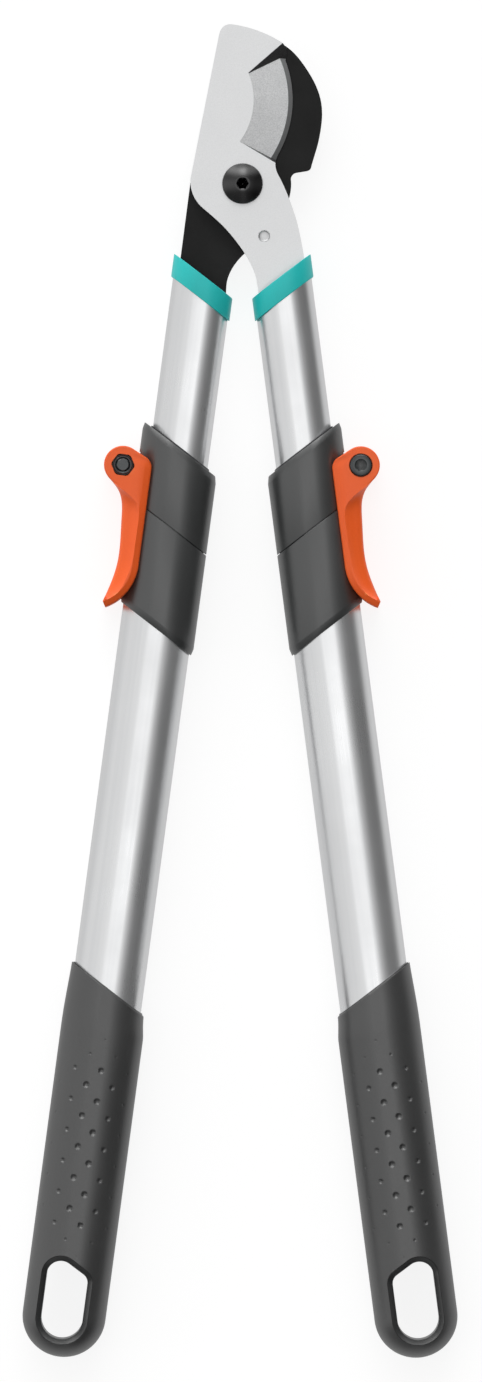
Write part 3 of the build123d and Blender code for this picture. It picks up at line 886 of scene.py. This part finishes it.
def dent(points):
    """Press the dimples into the grip's skin. points is an array in millimetres."""
    centre_line = np.zeros_like(points)
    centre_line[:, 0] = np.clip(points[:, 0], -FLAT / 2, FLAT / 2)
    centre_line[:, 1] = points[:, 1]
    outward = points - centre_line
    outward /= np.maximum(np.linalg.norm(outward, axis=1)[:, None], 1e-9)
    sink = np.zeros(len(points))
    for x, t, size in dimples():
        for face in (1, -1):
            at = np.array([x, t, face * grip_height(x, t)])
            near = np.linalg.norm(points - at, axis=1) / size
            pit = np.where(near < 1, np.sqrt(np.clip(1.45 - near ** 2, 0, None)) - math.sqrt(0.45), 0)
            sink = np.maximum(sink, pit * size)
    return points - outward * sink[:, None]


def grip_cover():
    """Soft cover: slanted mouth, dimpled faces and a round end."""
    section = half_section()
    whole = section + [(-x, z) for x, z in reversed(section[1:-1])]
    count = len(whole)
    rings = []
    bore = scaled(whole, GRIP_R - OUTER_R - 0.02)
    for offset in (1.2, 0.0):
        rings.append([(x, GRIP_TOP + offset - x * SLANT, z) for x, z in bore])
    taper, fillet = 0.95, 0.3
    for r, depth in rounded(GRIP_R - taper, fillet, 3):
        rings.append([(x, GRIP_TOP + depth - x * SLANT, z) for x, z in scaled(whole, GRIP_R - r)])
    for share in np.arange(1, 25) / 24:
        depth = GRIP_TOP + fillet + share * (GRIP_SQUARE - GRIP_TOP - fillet)
        thin = taper * (1 - float(smoothstep(-0.15, 0.9, share))) / (1 - float(smoothstep(-0.15, 0.9, 0.0)))
        slant = SLANT * (1 - share ** 1.3)
        rings.append([(x, depth - x * slant, z) for x, z in scaled(whole, thin)])
    step, body_end = 0.3, 420.0
    depths = [*np.arange(GRIP_SQUARE + step, body_end, step), *np.linspace(body_end, GRIP_CENTRE, 56)]
    rings += [[(x, depth, z) for x, z in whole] for depth in depths]
    points, faces = loft(rings)
    points = [tuple(p) for p in dent(np.array(points))]
    last = (len(rings) - 1) * count       # first point of the last ring
    half = len(section)
    turns = 44                            # steps of the half turn that makes the round end
    previous = [last + i for i in range(half)]
    left = [last] + [last + count - i for i in range(1, half - 1)] + [last + half - 1]
    for j in range(1, turns + 1):
        angle = math.pi * j / turns
        if j == turns:
            current = left
        else:
            current = [last]
            for x, z in section[1:-1]:
                current.append(len(points))
                points.append((x * math.cos(angle), GRIP_CENTRE + x * math.sin(angle), z))
            current.append(last + half - 1)
        faces.append((previous[0], previous[1], current[1]))
        for i in range(1, half - 2):
            faces.append((previous[i], previous[i + 1], current[i + 1], current[i]))
        faces.append((previous[half - 2], previous[half - 1], current[half - 2]))
        previous = current
    bore_end = OUTER_TUBE[1] - 0.1
    base = len(points)
    points += [(x, bore_end, z) for x, z in bore]
    faces += strip_faces(base, 0, count)
    faces.append(tuple(range(base, base + count)))
    return points, faces


def grip_ring():
    """Hard core where it shows: the ring that lines the hanging hole, and an edge at the cover's mouth."""
    rim = hole_loop(RING_WIDE)
    front = []
    steps = ((RING_WIDE, 4.0), (RING_WIDE, 0.42), (1.95, 0.3), (0.35, 1.75), (0.08, 2.15), (0.0, 2.7))
    for grow, sink in steps:
        front.append([(x, t, grip_height(*near) - sink) for (x, t), near in zip(hole_loop(grow), rim)])
    back = [[(x, t, -z) for x, t, z in ring] for ring in reversed(front)]
    radius = OUTER_R + 0.65
    outer = [(radius - 0.15, 0.0), (radius, 0.15), (radius, -END)]
    mouth_edge = sleeve_piece(outer, OUTER_R + 0.03, GRIP_TOP - 0.5, GRIP_TOP + 1.0)
    return merge(loft(front + back, joined=True), mouth_edge)


def build_grip(name, matrix):
    """Cover with the hanging hole cut through."""
    piece = new_object(name, new_mesh(name, *grip_cover()), RUBBER, matrix)
    loop = hole_loop(RING_WIDE)
    cut(piece, *loft([[(x, t, z) for x, t in loop] for z in (-20.0, 20.0)], close_ends=True))
    return piece


# ---------------------------------------------------------------- pivot

def pivot_bolt():
    """Domed head with a hexagon socket, on its shank."""
    seat, rim, dome, radius = 4.6, 1.0, 3.2, 7.9
    crown = seat + rim + dome
    sphere = (radius ** 2 + dome ** 2) / (2 * dome)
    profile = [(3.6, -13.45), (4.0, -13.05), (4.0, seat), (radius - 0.2, seat), (radius, seat + 0.2),
               (radius, seat + rim - 0.15)]
    for share in np.linspace(0.985, 0.36, 16):
        r = radius * share
        profile.append((r, crown - sphere + math.sqrt(sphere ** 2 - r ** 2)))
    profile += [(2.42, crown - 0.34), (hexagon(4.1), crown - 0.55), (hexagon(4.1), crown - 2.4),
                (0.1, crown - 8.0)]      # the socket ends in a steep cone, which stays dark inside
    return lathe(profile, (0.0, 0.0), 120)


def stop_pin(low, high):
    """Stop pin with a slightly dished face, from one height to another."""
    profile = [(2.1, low), (2.34, low + 0.24), (2.34, high - 0.08), (2.26, high), (2.2, high)]
    return lathe(profile + [(1.86, high - 0.5), (1.74, high - 0.55), (0.5, high - 0.55)], (0.0, 0.0), 72)


# ---------------------------------------------------------------- assembly

def place(shape, name, material, matrix, body, node):
    """Make a piece that stands for a CAD node and rides on a body."""
    piece = new_object(name, new_mesh(name, *shape), material, matrix)
    adopt(piece, body, node)
    return piece


def adopt(piece, body, node):
    """Tie a finished piece to its body and hide the CAD node it stands for."""
    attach(piece, body)
    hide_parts(node)


def build_handle(side):
    """All visible pieces of one handle."""
    matrix = handle_matrix(side)
    upper, lower = UPPER_BODY[side], side + "_draw_handle"
    lever = side + "_lever"
    plain = (
        (inner_tube, "inner_tube", ALUMINIUM, upper, "tube_aluminium"),
        (outer_tube, "outer_tube", ALUMINIUM, lower, "tube_aluminium"),
        (head_collar, "head_collar", TEAL, upper, "collar_plastic"),
        (clamp_sleeve, "clamp_sleeve", HOUSING, lower, "housing_plastic"),
        (lever_bolt, "lever_bolt", BOLT_OXIDE, lever, "black_oxide"),
        (lever_nut, "lever_nut", OXIDE, lever, "black_oxide"),
        (grip_ring, "grip_core", CORE, lower, "core_plastic"),
    )
    for make, node, material, body, slot in plain:
        place(make(), f"{side}_{node}_skin", material, matrix, body, f"{side}_{node}")
    ring = new_mesh("clamp_collar", *clamp_collar_ring())
    collar = new_object(f"{side}_clamp_collar_skin", ring, HOUSING, matrix)
    cut(collar, *box_shape((0.0, 107.5, -3.3), (30.0, 119.7, 3.3)))
    lugs = new_object("lugs", new_mesh("lugs", *clamp_lugs()), HOUSING, matrix)
    join(collar, lugs)
    adopt(collar, lower, f"{side}_clamp_collar")
    lip = new_object(f"{side}_clamp_lip", new_mesh("clamp_lip", *clamp_lip()), INSERT, matrix)
    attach(lip, lower)
    adopt(build_lever(f"{side}_clamp_lever_skin", matrix), lever, f"{side}_clamp_lever")
    adopt(build_grip(f"{side}_grip_cover_skin", matrix), lower, f"{side}_grip_cover")


def finish_cad_nodes():
    """Give the CAD nodes that stay on show their finish, with small edge rounds on the plates."""
    finishes = {
        "cutting_blade": BLADE, "counter_blade": HOOK, "pivot_washer": ZINC, "pivot_nut": ZINC,
    }
    for side in SIDES:
        finishes[side + "_tang_insert"] = INSERT
        finishes[side + "_tang_rivet"] = PIN
        finishes[side + "_glide_plug"] = ACETAL
        finishes[side + "_guide_bush"] = ACETAL
        finishes[side + "_brake_shoe"] = INSERT
    for node, material in finishes.items():
        piece = frame["nodes"][node]
        piece.data.materials.clear()
        piece.data.materials.append(material)
    for node, width in (("cutting_blade", 0.18), ("counter_blade", 0.3), ("pivot_nut", 0.25),
                        ("pivot_washer", 0.15)):
        bevel = frame["nodes"][node].modifiers.new("edge_round", "BEVEL")
        bevel.width = width * MM
        bevel.segments = 2
        bevel.limit_method = "ANGLE"
        bevel.angle_limit = SHARP_ANGLE
        bevel.use_clamp_overlap = True


def build_stage():
    """Plain pale floor that the tool lies on."""
    half = 20.0                      # metres: its edge stays out of low side views
    mesh = bpy.data.meshes.new("floor")
    corners = [(-half, -half, 0), (half, -half, 0), (half, half, 0), (-half, half, 0)]
    mesh.from_pydata(corners, [], [(0, 1, 2, 3)])
    made = Finish("pale_floor", Base_Color=(0.20, 0.20, 0.20, 1), Roughness=0.9, Specular_IOR_Level=0.0,
                  Emission_Color=(1.0, 1.0, 1.0, 1), Emission_Strength=0.86)
    floor = new_object("floor", mesh, made.material)
    floor.location.z = -0.0004       # just clear of the tool
    floor.visible_glossy = False     # the dome's lower half stands in for it, so metal stays calm at its rims


def build_light():
    """Soft studio light as a dome: bright on the left and overhead, dark on the right to shape the metal."""
    world = bpy.data.worlds.new("studio")
    bpy.context.scene.world = world
    world.use_nodes = True
    tree = world.node_tree

    def add(kind, **settings):
        node = tree.nodes.new(kind)
        for key, value in settings.items():
            setattr(node, key, value)
        return node

    def ramp(source, low, high, stops):
        """Grey level by direction, from stops of (direction component, level)."""
        reach = add("ShaderNodeMapRange")
        reach.inputs["From Min"].default_value, reach.inputs["From Max"].default_value = low, high
        tree.links.new(source, reach.inputs["Value"])
        node = add("ShaderNodeValToRGB")
        elements = node.color_ramp.elements
        while len(elements) < len(stops):
            elements.new(0.5)
        for element, (at, level) in zip(elements, stops):
            element.position = (at - low) / (high - low)
            element.color = (level, level, level, 1)
        tree.links.new(reach.outputs["Result"], node.inputs["Fac"])
        return node.outputs["Color"]

    def blend(kind, first, second):
        node = add("ShaderNodeMix", data_type="RGBA", blend_type=kind)
        node.inputs[0].default_value = 1.0
        tree.links.new(first, node.inputs[6])
        tree.links.new(second, node.inputs[7])
        return node.outputs[2]

    direction = add("ShaderNodeSeparateXYZ")
    tree.links.new(add("ShaderNodeTexCoord").outputs["Generated"], direction.inputs[0])
    side, along, height = direction.outputs["X"], direction.outputs["Y"], direction.outputs["Z"]
    dome = blend("MULTIPLY", ramp(side, -1.0, 1.0, ACROSS), ramp(along, -1.0, 1.0, ACROSS_SHARE))
    top = blend("MULTIPLY", ramp(along, -1.0, 1.0, ALONG), ramp(side, -1.0, 1.0, ALONG_SHARE))
    total = add("ShaderNodeMix", data_type="RGBA")
    tree.links.new(ramp(height, -1.0, 1.0, BELOW), total.inputs[0])
    tree.links.new(blend("ADD", dome, top), total.inputs[6])
    total.inputs[7].default_value = (BELOW_LEVEL, BELOW_LEVEL, BELOW_LEVEL, 1)
    backdrop = add("ShaderNodeMix", data_type="RGBA")
    tree.links.new(add("ShaderNodeLightPath").outputs["Is Camera Ray"], backdrop.inputs[0])
    tree.links.new(total.outputs[2], backdrop.inputs[6])
    backdrop.inputs[7].default_value = (1.0, 1.0, 1.0, 1)
    tree.links.new(backdrop.outputs[2], tree.nodes["Background"].inputs["Color"])
    tree.nodes["Background"].inputs["Strength"].default_value = 1.0
    bpy.context.scene.view_settings.view_transform = "Standard"


def build_camera():
    """Long lens straight above the tool, square to its front face."""
    low, high = CAD_BOUNDS
    middle = (Vector(low) + Vector(high)) / 2
    data = bpy.data.cameras.new("camera")
    data.sensor_width = 36.0
    data.lens = data.sensor_width * CAMERA_DISTANCE / FRAME_HEIGHT
    data.clip_end = 100.0
    camera = bpy.data.objects.new("camera", data)
    bpy.context.scene.collection.objects.link(camera)
    camera.location = (middle.x + CAMERA_SHIFT_X, middle.y, middle.z + CAMERA_DISTANCE)
    camera.rotation_euler.z = CAMERA_ROLL
    bpy.context.scene.camera = camera


build_camera()
build_light()
build_stage()
finish_cad_nodes()
pivot_at = Matrix.Translation(PIVOT)
place(pivot_bolt(), "pivot_bolt_skin", OXIDE, pivot_at, "counter_half", "pivot_bolt")
pin_low, pin_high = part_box("stop_pin")
pin_at = Matrix.Translation(((pin_low[0] + pin_high[0]) / 2, (pin_low[1] + pin_high[1]) / 2, 0.0))
place(stop_pin(pin_low[2] / MM, pin_high[2] / MM), "stop_pin_skin", PIN, pin_at, "cutting_half", "stop_pin")
for handle in SIDES:
    build_handle(handle)
